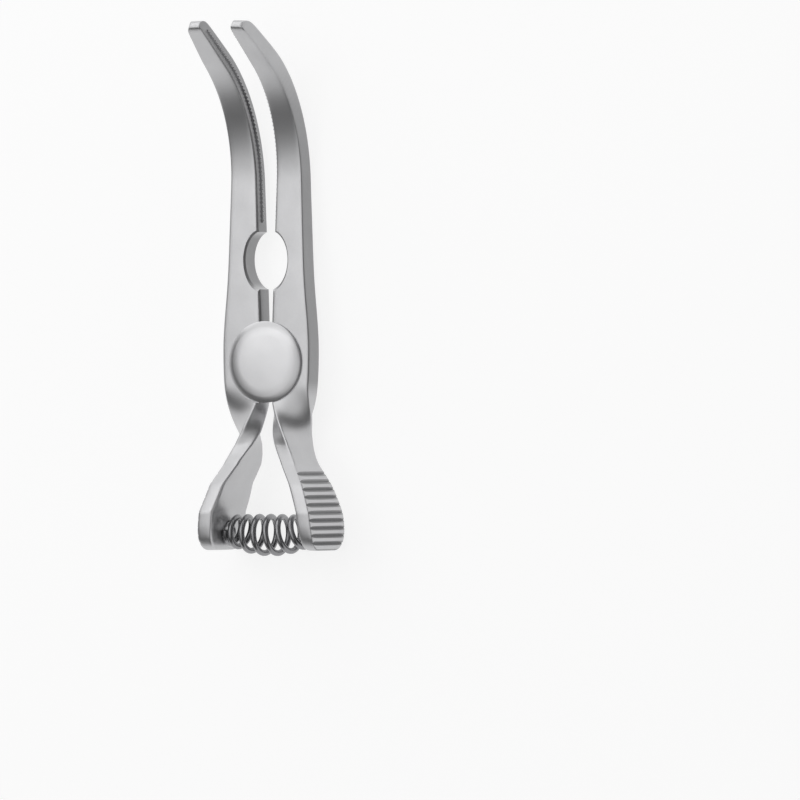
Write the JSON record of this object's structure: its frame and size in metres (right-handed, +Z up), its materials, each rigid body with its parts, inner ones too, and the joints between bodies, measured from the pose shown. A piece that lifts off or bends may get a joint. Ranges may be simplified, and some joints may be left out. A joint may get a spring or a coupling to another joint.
{
  "type": "bulldog vascular clamp",
  "caption": "Small spring-closed surgical vessel clamp with bent atraumatic jaws, a disc-headed pivot, twisted shanks and grooved finger plates.",
  "frame": {"origin": "centre of the bounding box at its underside: the clamp lies on its back, on the rear edges of the finger plates and the backs of the jaws, with the pivot disc and the bent jaw tips up", "axes": "+Y along the clamp towards the jaw tips, +X from the left half to the right half, +Z up; the pivot leans 4.6 degrees from +Z towards +Y"},
  "size_m": [0.0124, 0.0512, 0.0111],
  "materials": {
    "satin_steel": "glass-bead satin",
    "polished_steel": "fine turned satin",
    "spring_steel": "drawn wire"
  },
  "bodies": {
    "left_half": {"left_arm": "satin_steel", "pivot_rivet": "polished_steel", "rear_washer": "polished_steel", "left_spring_stud": "polished_steel", "spring": "spring_steel"},
    "right_half": {"right_arm": "satin_steel", "right_spring_stud": "polished_steel"}
  },
  "joints": [
    {"name": "jaw_pivot", "type": "hinge", "parent": "left_half", "child": "right_half", "pos_m": [0, -0.0072, 0.00241], "axis": [0, -0.0804, -0.9968], "range_deg": [-4.9, 7.5], "stiffness_Nm_per_rad": 0.1, "springref_deg": -20.05, "deforming": ["spring"]}
  ]
}
